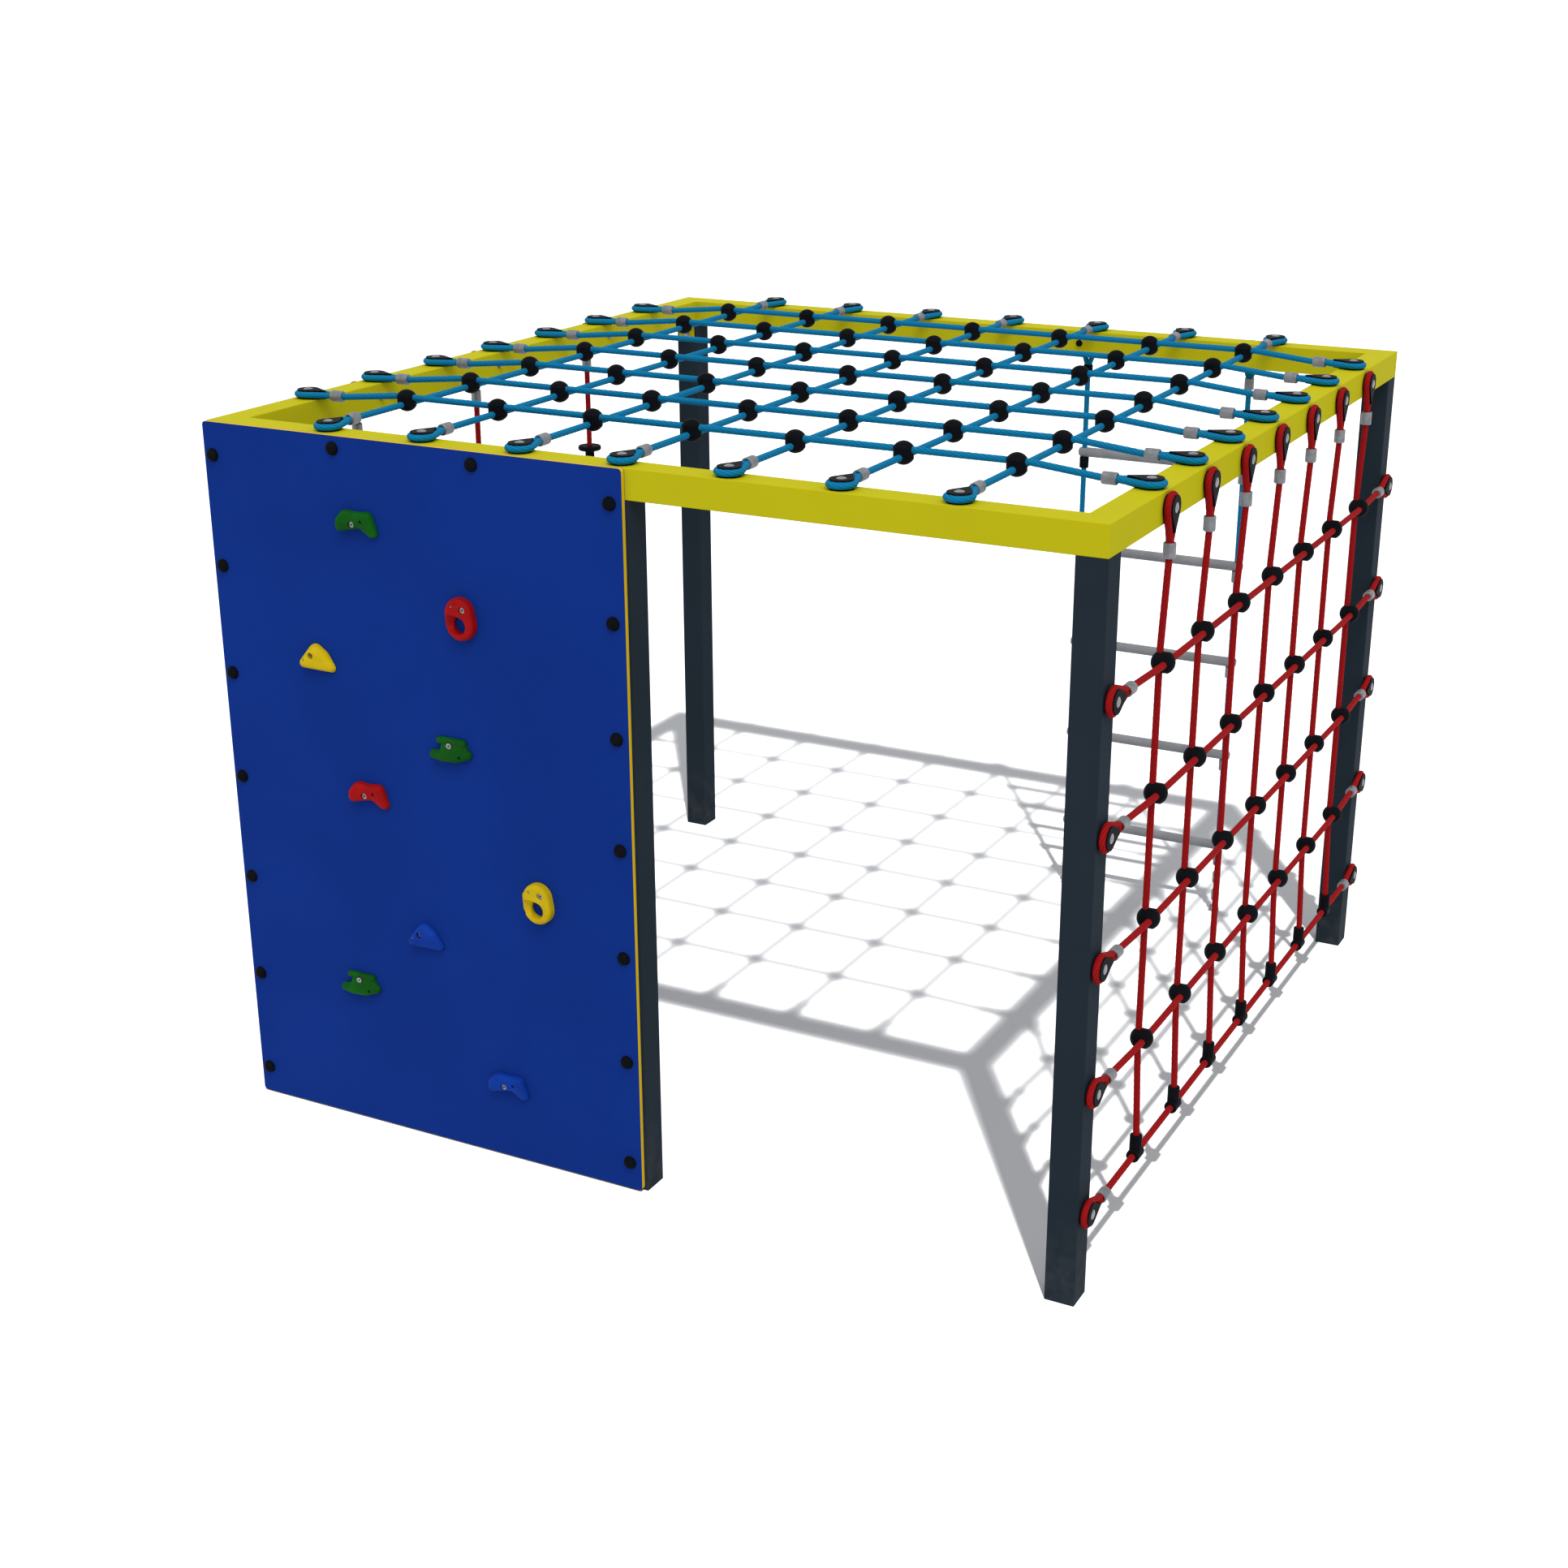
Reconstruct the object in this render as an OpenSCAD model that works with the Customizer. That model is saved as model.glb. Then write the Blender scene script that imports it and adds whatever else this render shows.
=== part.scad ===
// Climbing cube: a square-tube frame with a climbing wall, two rope nets,
// a rope ladder and three disc ropes that are chained down to the ground.
// Millimetres, +Z up. The origin lies on the ground in the middle of the outline.
// Sizes are counted from the outer front left corner of the frame.

/* [Frame] */
// outer width of the frame along X
frame_w = 2560; // [2400:10:2900]
// outer depth of the frame along Y
frame_d = 2560; // [2400:10:2900]
// height to the top face of the beams
frame_h = 2000; // [1960:10:2300]
// side of the square tubes
tube = 80; // [76:1:90]
// wall of the square tubes
tube_wall = 4; // [3:0.5:6]
// outer corner radius of the square tubes
tube_r = 2.5; // [2:0.5:6]
// length of both legs of the corner brackets
bracket_leg = 50; // [46:1:60]
// width of the corner brackets
bracket_w = 60; // [40:1:70]
// thickness of the corner brackets
bracket_t = 6; // [4:0.5:8]
// distance of a bracket bolt from the bend of its bracket
bracket_bolt_at = 33; // [28:1:36]

/* [Rope and eyes] */
// diameter of every rope
rope_d = 17; // [15:0.5:18]
// radius of a rope eye to the middle of the rope
eye_r = 30; // [28:0.5:33]
// distance from the eye bolt to the near end of the ferrule
ferrule_at = 84; // [78:1:96]
// length of a ferrule
ferrule_l = 38; // [32:1:46]
// wall of a ferrule around the doubled rope
ferrule_wall = 4; // [2.5:0.5:5]
// thickness of a thimble flange
flange_t = 3.9; // [3:0.1:6]
// diameter of the bolts through the thimbles
bolt_d = 10; // [8:0.5:12]
// diameter of the domed bolt heads
head_d = 25; // [20:0.5:28]
// height of the domed bolt heads
head_h = 3.5; // [3:0.5:6]
// clearance of a rope in its fittings
rope_fit = 0.1; // [0.05:0.05:0.3]
// clearance of a bolt in its hole
bolt_fit = 0.05; // [0.02:0.01:0.1]

/* [Nets] */
// ropes across the top, the same number in both directions
net_n = 7; // [6:1:8]
// height of the lowest cross rope, rung and disc
step_z = 250; // [247:1:280]
// height from one cross rope, rung or disc to the next
step_pitch = 333; // [310:1:340]
// number of cross ropes, rungs and discs above each other
step_n = 5; // [4:1:5]
// plastic left between the two ropes in a cross joint
joint_web = 1; // [0.6:0.2:3]
// plastic around the ropes along the axis of a cross joint
joint_over = 12.5; // [9:0.5:14]
// radius of a cross joint
joint_r = 26; // [23:0.5:28]
// length of a tee sleeve above the lowest cross rope
tee_h = 55; // [45:1:65]
// wall of a tee sleeve
tee_wall = 7.5; // [5:0.5:9]

/* [Climbing wall] */
// thickness of the wall panel
panel_t = 16; // [15:1:20]
// how far the panel passes the centre line of the middle post
panel_lap = 30; // [20:1:36]
// gap between the panel and the ground
panel_gap = 5; // [3:1:20]
// corner radius of the panel
panel_r = 10; // [5:1:20]
// distance of the bolt columns from the panel's side edges
wall_bolt_in = 28; // [24:1:34]
// distance of the lowest wall bolt from the panel's lower edge
wall_bolt_low = 80; // [60:1:100]
// distance of the highest post bolt below the beams
wall_bolt_top = 9; // [9:1:30]
// number of wall bolts in each post
wall_bolt_n = 7; // [4:1:9]
// distance of the wall bolts in the beam below its top face
wall_beam_bolt = 33; // [26:1:50]
// sideways places of the two wall bolts in the beam
wall_beam_at = [433, 869]; // [200:1:1000]
// diameter of the bolt caps
cap_d = 37; // [34:1:40]
// height of the bolt caps
cap_h = 17; // [12:0.5:18]
// place of the upper green bean hold
bean_green_at = [497, 1777]; // [200:1:1800]
// place of the red ring hold
ring_red_at = [812, 1562]; // [200:1:1800]
// place of the yellow wedge hold
wedge_yellow_at = [335, 1388]; // [200:1:1800]
// place of the upper ledge hold
ledge_high_at = [756, 1191]; // [200:1:1800]
// place of the red bean hold
bean_red_at = [474, 1019]; // [200:1:1800]
// place of the yellow ring hold
ring_yellow_at = [1013, 805]; // [200:1:1800]
// place of the blue wedge hold
wedge_blue_at = [638, 629]; // [200:1:1800]
// place of the lower ledge hold
ledge_low_at = [396, 434]; // [200:1:1800]
// place of the blue bean hold
bean_blue_at = [887, 230]; // [200:1:1800]
// greatest depth of a hold in front of the panel
hold_depth = 30; // [28:0.5:34]

/* [Ladder] */
// place of the left ladder rope along X
ladder_x = 1534; // [1380:1:1600]
// distance between the two ladder ropes
ladder_w = 555; // [450:1:640]
// diameter of a rung
rung_d = 32; // [30:1:36]
// length of a rung past each rope
rung_over = 19; // [16:1:40]
// gap on each side of a ladder thimble, for the sway
ladder_gap = 0.95; // [0.8:0.05:0.95]

/* [Disc ropes] */
// place of the front disc rope along Y
disc_front_y = 650; // [600:1:700]
// place of the middle disc rope along Y
disc_mid_y = 1250; // [1150:1:1350]
// place of the back disc rope along Y
disc_back_y = 1895; // [1800:1:1960]
// diameter of a disc
disc_d = 78; // [64:1:90]
// thickness of a disc
disc_t = 16; // [10:0.5:18]
// gap on each side of a disc rope's thimble
disc_gap = 0.3; // [0.3:0.05:0.6]

/* [Chains] */
// thickness of the chain wire
wire_d = 8; // [7:0.5:8]
// gap between wires that hook into each other
wire_gap = 0.5; // [0.4:0.05:0.6]
// straight length in a chain link
link_straight = 25; // [24.5:0.1:26]
// number of links in a chain, an odd number
link_n = 5; // [5:2:5]
// free drop of the lowest link below the staple wire
chain_slack = 4.6; // [4:0.1:5.5]

/* [Hidden] */
$fn = 32;
far = 1000;
edge = 3;
rope_r = rope_d / 2;
bolt_r = bolt_d / 2;
head_r = head_d / 2;
beam_z = frame_h - tube;
eye_z = frame_h - tube / 2;
// the eye: two legs run tangent from the loop to the point where they meet in the ferrule
meet_lead = 6;
meet_at = ferrule_at + meet_lead;
leg_angle = asin(eye_r / meet_at);
leg_l = meet_at * cos(leg_angle) - 2;
doubled_r = meet_lead * tan(leg_angle) + rope_r / cos(leg_angle) + 0.3;
doubled_l = 14;
ferrule_r = doubled_r + rope_fit + ferrule_wall;
ferrule_end = ferrule_at + ferrule_l;
eye_w = flange_t + rope_fit + rope_r;
thimble_t = 2 * eye_w;
core_r = eye_r - rope_r - rope_fit;
core_tip = 0.94 * core_r / sin(leg_angle);
flange_tip = 2 * eye_r;
rope_from = ferrule_at + 10;
kink_gap = 0.9;
kink_over = 0.4;
bend_at = ferrule_end + 4;
shank_in = tube_wall + 8;
bolt_out = 6;
end_nut_h = 12;
// the nets: two layers of rope cross in a joint
layer = rope_r + rope_fit + joint_web / 2;
joint_half = 2 * rope_r + joint_web / 2 + joint_over;
joint_clear = joint_r + 10;
mesh_x = (frame_w - 2 * tube) / (net_n + 1);
mesh_y = (frame_d - 2 * tube) / (net_n + 1);
span_x = frame_w - tube;
span_y = frame_d - tube;
tee_r = rope_r + rope_fit + tee_wall;
tee_barrel_r = tee_r + 1.5;
tee_barrel_l = 46;
tee_stop = rope_r + 3;
step_top = step_z + (step_n - 1) * step_pitch;
// the wall
panel_w = frame_w / 2 + panel_lap;
wall_bolt_r = 4;
wall_head_r = 9;
wall_head_h = 5;
wall_bolt_first = panel_gap + wall_bolt_low;
wall_bolt_step = (beam_z - wall_bolt_top - wall_bolt_first) / (wall_bolt_n - 1);
hold_head_r = 8;
hold_head_h = 6;
hold_nut_h = 3;
hold_nut_r = 13;
screw_r = 2;
screw_head_r = 4;
screw_head_h = 2.5;
screw_in = 12;
// the ladder and disc ropes
rung_r = rung_d / 2;
sleeve_r = ferrule_r;
sleeve_l = ferrule_l;
seat_gap = 0.2;
ladder_y = frame_d + ladder_gap + eye_w;
disc_x = -disc_gap - eye_w;
terminal_l = 40;
terminal_z = step_z - rung_r - seat_gap - terminal_l;
rope_foot = terminal_z + 18;
// the chains: links hook into each other and the highest hangs in the terminal's loop
wire_r = wire_d / 2;
link_bend = wire_d + wire_gap;
link_step = link_straight + link_bend;
loop_drop = 18;
loop_half = 10;
loop_bend = 6;
chain_z = terminal_z - loop_drop;
staple_z = chain_z - link_straight - (link_n - 1) * link_step + chain_slack;
// the outline, for the origin
home_x = (frame_w + eye_w + joint_half + disc_x - disc_d / 2) / 2;
home_y = (ladder_y + rung_r - panel_t - hold_depth) / 2;

// a frame on a face: point, direction along the rope, direction out of the face
function far_end(f, span) = [f[0] + span * f[1], -f[1], f[2]];
right = [1, 0, 0];
back = [0, 1, 0];
up = [0, 0, 1];
top_x = [for (i = [1 : net_n]) [[tube / 2, tube + i * mesh_y, frame_h], right, up]];
top_y = [for (i = [1 : net_n]) [[tube + i * mesh_x, tube / 2, frame_h], back, up]];
rows = [for (k = [0 : step_n - 1]) [[frame_w, tube / 2, step_z + k * step_pitch], back, right]];
uprights = [for (i = [1 : net_n]) [[frame_w, tube + i * mesh_y, eye_z], -up, right]];
top_x_far = [for (f = top_x) far_end(f, span_x)];
top_y_far = [for (f = top_y) far_end(f, span_y)];
rows_far = [for (f = rows) far_end(f, span_y)];
net_eyes = concat(top_x, top_x_far, top_y, top_y_far, rows, rows_far, uprights);
ladder_eyes = [for (s = [0, 1]) [[ladder_x + s * ladder_w, frame_d, eye_z], -up, back]];
disc_eyes = [for (y = [disc_front_y, disc_mid_y, disc_back_y]) [[0, y, eye_z], -up, -right]];
// the corner brackets: point on the post, down along the post, out of the post
bracket_fl = [[tube, tube / 2, beam_z], -up, right];
bracket_fm = [[frame_w / 2 - tube / 2, tube / 2, beam_z], -up, -right];
bracket_fr = [[frame_w - tube / 2, tube, beam_z], -up, back];
bracket_br = [[frame_w - tube, frame_d - tube / 2, beam_z], -up, -right];
bracket_bl = [[tube / 2, frame_d - tube, beam_z], -up, -back];
bracket_all = [bracket_fl, bracket_fm, bracket_fr, bracket_br, bracket_bl];
// the wall bolts: point on the panel's face, direction up, direction out
wall_left = [for (k = [0 : wall_bolt_n - 1])
    [[wall_bolt_in, -panel_t, wall_bolt_first + k * wall_bolt_step], up, -back]];
wall_right = [for (k = [0 : wall_bolt_n - 1])
    [[panel_w - wall_bolt_in - 7, -panel_t, wall_bolt_first + k * wall_bolt_step], up, -back]];
wall_beam = [for (x = wall_beam_at) [[x, -panel_t, frame_h - wall_beam_bolt], up, -back]];
wall_all = concat(wall_left, wall_right, wall_beam);
// the holds: bolt and screw counted from the middle of the hold, then the heights of their seats
bean_fix = [[-5, -1], [26, 9], hold_depth - 17, hold_depth - 16];
ring_fix = [[20, 27], [-15, 33], hold_depth - 14, hold_depth - 8];
wedge_fix = [[-11, 9], [-35, -5], hold_depth - 19, hold_depth - 8];
ledge_fix = [[3, 16], [40, -10], 10, hold_depth - 16];
hold_fix = [
    [bean_green_at, bean_fix],
    [bean_red_at, bean_fix],
    [bean_blue_at, bean_fix],
    [ring_red_at, ring_fix],
    [ring_yellow_at, ring_fix],
    [wedge_yellow_at, wedge_fix],
    [wedge_blue_at, wedge_fix],
    [ledge_high_at, ledge_fix],
    [ledge_low_at, ledge_fix],
];

// Shared shapes

module home() {
    translate([-home_x, -home_y, 0]) children();
}

// local X runs along the rope, local Z out of the face
module facing(f) {
    a = f[1];
    o = f[2];
    s = cross(o, a);
    p = f[0];
    multmatrix([
        [a[0], s[0], o[0], p[0]],
        [a[1], s[1], o[1], p[1]],
        [a[2], s[2], o[2], p[2]],
        [0, 0, 0, 1],
    ]) children();
}

module rounded_rect(w, h, r) {
    translate([0, r]) square([w, h - 2 * r]);
    translate([r, 0]) square([w - 2 * r, h]);
    for (x = [r, w - r]) {
        for (y = [r, h - r]) {
            translate([x, y]) circle(r);
        }
    }
}

module tube_section() {
    difference() {
        translate([-tube / 2, -tube / 2]) rounded_rect(tube, tube, tube_r);
        square(tube - 2 * tube_wall, center = true);
    }
}

// a turned sleeve along +Z with rounded rims
module sleeve(r, l, e) {
    rotate_extrude() {
        translate([0, e]) square([r, l - 2 * e]);
        square([r - e, l]);
        translate([r - e, e]) circle(e);
        translate([r - e, l - e]) circle(e);
    }
}

module dome(r, h) {
    ball = (r * r + h * h) / (2 * h);
    intersection() {
        translate([0, 0, h - ball]) sphere(ball);
        cylinder(r = r, h = h);
    }
}

// a round bar through points in the XY plane, with an arc at every corner
function heading(a, b) = atan2(b[1] - a[1], b[0] - a[0]);
function turn_at(p, i) =
    i == 0 || i == len(p) - 1 ? 0 : heading(p[i], p[i + 1]) - heading(p[i - 1], p[i]);
function trim_at(p, i, bend) = bend * tan(abs(turn_at(p, i)) / 2);

module bent_bar(p, r, bend) {
    for (i = [0 : len(p) - 2]) {
        from = trim_at(p, i, bend);
        l = norm(p[i + 1] - p[i]) - from - trim_at(p, i + 1, bend);
        translate(p[i]) rotate([0, 0, heading(p[i], p[i + 1])]) translate([from, 0, 0])
            rotate([0, 90, 0]) cylinder(r = r, h = l);
    }
    if (len(p) > 2) {
        for (i = [1 : len(p) - 2]) {
            t = turn_at(p, i);
            translate(p[i]) rotate([0, 0, heading(p[i - 1], p[i])])
                translate([-trim_at(p, i, bend), sign(t) * bend, 0])
                rotate([0, 0, t > 0 ? -90 : 90 + t])
                rotate_extrude(angle = abs(t)) translate([bend, 0]) circle(r);
        }
    }
}

// a tight rope through points in the XY plane; a knuckle just over the rope's size at every bend
module kinked_rope(p) {
    last = len(p) - 1;
    for (i = [0 : last - 1]) {
        from = i == 0 ? 0 : kink_gap;
        to = i + 1 == last ? 0 : kink_gap;
        translate(p[i]) rotate([0, 0, heading(p[i], p[i + 1])]) translate([from, 0, 0])
            rotate([0, 90, 0]) cylinder(r = rope_r, h = norm(p[i + 1] - p[i]) - from - to);
    }
    for (i = [1 : last - 1]) {
        translate(p[i]) rotate([0, 0, (heading(p[i - 1], p[i]) + heading(p[i], p[i + 1])) / 2])
            rotate([0, 90, 0]) sphere(rope_r + kink_over);
    }
}

module shank_holes(frames, r, depth) {
    for (f = frames) {
        facing(f) translate([0, 0, -depth]) cylinder(r = r, h = depth + edge);
    }
}

// The rope eye: bolt at the local origin, rope leaving along +X

module eye_rope() {
    translate([0, 0, eye_w]) {
        rotate([0, 0, 90 - leg_angle])
            rotate_extrude(angle = 180 + 2 * leg_angle) translate([eye_r, 0]) circle(rope_r);
        for (s = [-1, 1]) {
            rotate([0, 0, s * (90 - leg_angle)]) translate([eye_r, 0, 0])
                rotate([s * 90, 0, 0]) cylinder(r = rope_r, h = leg_l);
        }
        translate([ferrule_at + 1, 0, 0]) rotate([0, 90, 0]) cylinder(r = doubled_r, h = doubled_l);
    }
}

module eye_plate(r, tip, blunt) {
    a = asin(r / tip);
    w = (tip - blunt) * tan(a);
    circle(r);
    polygon([[0, 0], [r * sin(a), -r * cos(a)], [blunt, -w], [blunt, w], [r * sin(a), r * cos(a)]]);
}

module eye_thimble(bore) {
    difference() {
        union() {
            linear_extrude(flange_t) eye_plate(eye_r, flange_tip, flange_tip - 2);
            translate([0, 0, thimble_t - flange_t]) linear_extrude(flange_t)
                eye_plate(eye_r, flange_tip, flange_tip - 2);
            linear_extrude(thimble_t) eye_plate(core_r, core_r / sin(leg_angle), core_tip);
        }
        translate([0, 0, -edge]) cylinder(r = bore, h = thimble_t + 2 * edge);
    }
}

module eye_ferrule() {
    translate([ferrule_at, 0, eye_w]) rotate([0, 90, 0]) difference() {
        sleeve(ferrule_r, ferrule_l, edge);
        translate([0, 0, -1]) cylinder(r = doubled_r + rope_fit, h = doubled_l + 2 + rope_fit);
        cylinder(r = rope_r + rope_fit, h = ferrule_l + 1);
    }
}

module eye_bolt(head_at, reach) {
    translate([0, 0, -reach]) cylinder(r = bolt_r, h = reach + head_at + 1);
    translate([0, 0, head_at]) dome(head_r, head_h);
}

// Frame

module post_at(x, y) {
    translate([x + tube / 2, y + tube / 2, 0]) {
        linear_extrude(beam_z) tube_section();
        for (z = [0, beam_z - tube_wall]) {
            translate([0, 0, z]) linear_extrude(tube_wall) square(tube - 2 * tube_wall, center = true);
        }
    }
}

module bracket_post_holes(f) {
    facing(f) translate([bracket_bolt_at, 0, -shank_in])
        cylinder(r = bolt_r + bolt_fit, h = shank_in + edge);
}

module bracket_beam_holes(f) {
    facing(f) translate([-shank_in, 0, bracket_bolt_at]) rotate([0, 90, 0])
        cylinder(r = bolt_r + bolt_fit, h = shank_in + edge);
}

module post_front_left() {
    color([0.15, 0.18, 0.21]) home() difference() {
        post_at(0, 0);
        shank_holes(wall_left, wall_bolt_r + bolt_fit, panel_t + shank_in);
        bracket_post_holes(bracket_fl);
    }
}

module post_front_mid() {
    color([0.15, 0.18, 0.21]) home() difference() {
        post_at(frame_w / 2 - tube / 2, 0);
        shank_holes(wall_right, wall_bolt_r + bolt_fit, panel_t + shank_in);
        bracket_post_holes(bracket_fm);
    }
}

module post_front_right() {
    color([0.15, 0.18, 0.21]) home() difference() {
        post_at(frame_w - tube, 0);
        shank_holes(rows, bolt_r + bolt_fit, shank_in);
        bracket_post_holes(bracket_fr);
    }
}

module post_back_left() {
    color([0.15, 0.18, 0.21]) home() difference() {
        post_at(0, frame_d - tube);
        bracket_post_holes(bracket_bl);
    }
}

module post_back_right() {
    color([0.15, 0.18, 0.21]) home() difference() {
        post_at(frame_w - tube, frame_d - tube);
        shank_holes(rows_far, bolt_r + bolt_fit, shank_in);
        bracket_post_holes(bracket_br);
    }
}

// local X along the beam, local Y from the outer face inwards, mitred at both ends
module beam_body(l) {
    intersection() {
        translate([0, tube / 2, tube / 2]) rotate([90, 0, 90]) linear_extrude(l) tube_section();
        linear_extrude(tube) polygon([[0, 0], [l, 0], [l - tube, tube], [tube, tube]]);
    }
}

module beam_front() {
    color([0.8, 0.77, 0.13]) home() difference() {
        translate([0, 0, beam_z]) beam_body(frame_w);
        shank_holes(top_y, bolt_r + bolt_fit, shank_in);
        shank_holes(wall_beam, wall_bolt_r + bolt_fit, panel_t + shank_in);
        bracket_beam_holes(bracket_fl);
        bracket_beam_holes(bracket_fm);
    }
}

module beam_back() {
    color([0.8, 0.77, 0.13]) home() difference() {
        translate([frame_w, frame_d, beam_z]) rotate([0, 0, 180]) beam_body(frame_w);
        shank_holes(top_y_far, bolt_r + bolt_fit, shank_in);
        shank_holes(ladder_eyes, bolt_r + bolt_fit, tube + edge);
        bracket_beam_holes(bracket_br);
    }
}

module beam_left() {
    color([0.8, 0.77, 0.13]) home() difference() {
        translate([0, frame_d, beam_z]) rotate([0, 0, -90]) beam_body(frame_d);
        shank_holes(top_x, bolt_r + bolt_fit, shank_in);
        shank_holes(disc_eyes, bolt_r + bolt_fit, tube + edge);
        bracket_beam_holes(bracket_bl);
    }
}

module beam_right() {
    color([0.8, 0.77, 0.13]) home() difference() {
        translate([frame_w, 0, beam_z]) rotate([0, 0, 90]) beam_body(frame_d);
        shank_holes(top_x_far, bolt_r + bolt_fit, shank_in);
        shank_holes(uprights, bolt_r + bolt_fit, shank_in);
        bracket_beam_holes(bracket_fr);
    }
}

module brackets() {
    color([0.8, 0.77, 0.13]) home() for (f = bracket_all) {
        difference() {
            facing(f) rotate([90, 0, 0]) translate([0, 0, -bracket_w / 2]) linear_extrude(bracket_w)
                polygon([[0, 0], [bracket_leg, 0], [bracket_leg, bracket_t], [bracket_t, bracket_t],
                    [bracket_t, bracket_leg], [0, bracket_leg]]);
            bracket_post_holes([f[0] + bracket_t * f[2], f[1], f[2]]);
            bracket_beam_holes([f[0] + bracket_t * f[1], f[1], f[2]]);
        }
    }
}

module frame_bolts() {
    color([0.6, 0.61, 0.62]) home() {
        for (f = bracket_all) {
            facing(f) {
                translate([bracket_bolt_at, 0, 0]) eye_bolt(bracket_t, shank_in);
                translate([0, 0, bracket_bolt_at]) rotate([0, 90, 0]) eye_bolt(bracket_t, shank_in);
            }
        }
        for (f = wall_all) {
            facing(f) {
                translate([0, 0, -panel_t - shank_in])
                    cylinder(r = wall_bolt_r, h = panel_t + shank_in + 1);
                cylinder(r = wall_head_r, h = wall_head_h);
            }
        }
    }
}

// Climbing wall

module wall_panel() {
    color([0.07, 0.19, 0.5]) home() difference() {
        translate([0, 0, panel_gap]) rotate([90, 0, 0]) linear_extrude(panel_t)
            rounded_rect(panel_w, frame_h - panel_gap, panel_r);
        shank_holes(wall_all, wall_bolt_r + bolt_fit, panel_t + edge);
        for (h = hold_fix) {
            on_wall(h[0]) {
                translate(h[1][0]) translate([0, 0, -panel_t - edge])
                    cylinder(r = bolt_r + bolt_fit, h = panel_t + 2 * edge);
                translate(h[1][1]) translate([0, 0, -screw_in])
                    cylinder(r = screw_r + bolt_fit, h = screw_in + edge);
            }
        }
    }
}

module wall_caps() {
    color([0.08, 0.08, 0.09]) home() for (f = wall_all) {
        facing(f) difference() {
            dome(cap_d / 2, cap_h);
            translate([0, 0, -1]) cylinder(r = wall_head_r + bolt_fit, h = wall_head_h + bolt_fit + 1);
        }
    }
}

// local X right, local Y up, local Z out of the panel
module on_wall(p) {
    translate([p[0], -panel_t, p[1]]) rotate([90, 0, 0]) children();
}

module ball(x, y, z, r) {
    translate([x, y, z]) sphere(r, $fn = 18);
}

// a moulded hold: the form in front of the panel less its bolt and screw holes
module hold(p, fix) {
    home() on_wall(p) difference() {
        intersection() {
            union() {
                children();
            }
            translate([-far / 2, -far / 2, 0]) cube([far, far, far]);
        }
        translate(fix[0]) {
            translate([0, 0, -edge]) cylinder(r = bolt_r + bolt_fit, h = far);
            translate([0, 0, fix[2]]) cylinder(r = hold_head_r + 1, h = far);
        }
        translate(fix[1]) {
            translate([0, 0, -edge]) cylinder(r = screw_r + bolt_fit, h = far);
            translate([0, 0, fix[3]]) cylinder(r = screw_head_r + 0.5, h = far);
        }
    }
}

// a round post of a hold, standing on the panel
module lump(x, y, r, depth) {
    ball(x, y, 0, r);
    ball(x, y, depth - r, r);
}

module bean(p) {
    hold(p, bean_fix) {
        hull() {
            lump(-43, -8, 15, hold_depth);
            lump(-42, 4, 15, hold_depth);
            lump(-30, 20, 14, hold_depth - 3);
            lump(4, 17, 14, 22);
            lump(-2, -1, 13, 24);
        }
        hull() {
            lump(4, 17, 14, 22);
            lump(-2, -1, 13, 24);
            lump(37, 18, 16, 24);
            lump(21, 1, 13, 22);
        }
        hull() {
            lump(37, 18, 16, 24);
            lump(21, 1, 13, 22);
            lump(56, -22, 11, 16);
            lump(48, -23, 11, 16);
        }
    }
}

// a finger hole goes through the ring, and a scoop leads into it from the left
module ring(p) {
    hold(p, ring_fix) difference() {
        hull() {
            translate([5, 16, -12]) sleeve(41, hold_depth + 9, 11, $fn = 24);
            translate([8, -14, -12]) sleeve(43, hold_depth + 9, 11, $fn = 24);
        }
        translate([6, -16, 0]) {
            translate([0, 0, -edge]) cylinder(r = 23.5, h = far);
            translate([0, 4, 20]) rotate([0, -62, 0]) cylinder(r1 = 20, r2 = 30, h = 80);
        }
    }
}

module wedge(p) {
    hold(p, wedge_fix) hull() {
        ball(-4, 18, 4, 22.5);
        ball(20, 6, 4, 18.5);
        lump(-37, -14, 14, hold_depth);
        ball(44, -22, 3, 12.5);
    }
}

// a bar above, a deep lip below and a web between them that leaves a notch at the left
module ledge(p) {
    hold(p, ledge_fix) {
        hull() {
            for (z = [24, 29.5]) {
                lump(-34, z, 6.5, 14);
                lump(46, z, 6.5, 14);
            }
        }
        hull() {
            ball(-48, -14, 11, 13);
            ball(-15, -15, hold_depth - 16, 15);
            ball(25, -13, hold_depth - 18, 15);
            ball(57, -4, 6, 13);
        }
        hull() {
            ball(-19, 14, 1, 10);
            ball(43, 20, 1, 10);
            ball(46, 5, 2, 11);
            ball(-15, -15, hold_depth - 16, 15);
            ball(25, -13, hold_depth - 18, 15);
        }
    }
}

module hold_bean_green() { color([0.07, 0.35, 0.08]) bean(bean_green_at); }
module hold_ring_red() { color([0.65, 0.08, 0.08]) ring(ring_red_at); }
module hold_wedge_yellow() { color([0.78, 0.69, 0.08]) wedge(wedge_yellow_at); }
module hold_ledge_high() { color([0.07, 0.35, 0.08]) ledge(ledge_high_at); }
module hold_bean_red() { color([0.65, 0.08, 0.08]) bean(bean_red_at); }
module hold_ring_yellow() { color([0.78, 0.69, 0.08]) ring(ring_yellow_at); }
module hold_wedge_blue() { color([0.06, 0.2, 0.58]) wedge(wedge_blue_at); }
module hold_ledge_low() { color([0.07, 0.35, 0.08]) ledge(ledge_low_at); }
module hold_bean_blue() { color([0.06, 0.2, 0.58]) bean(bean_blue_at); }

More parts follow.
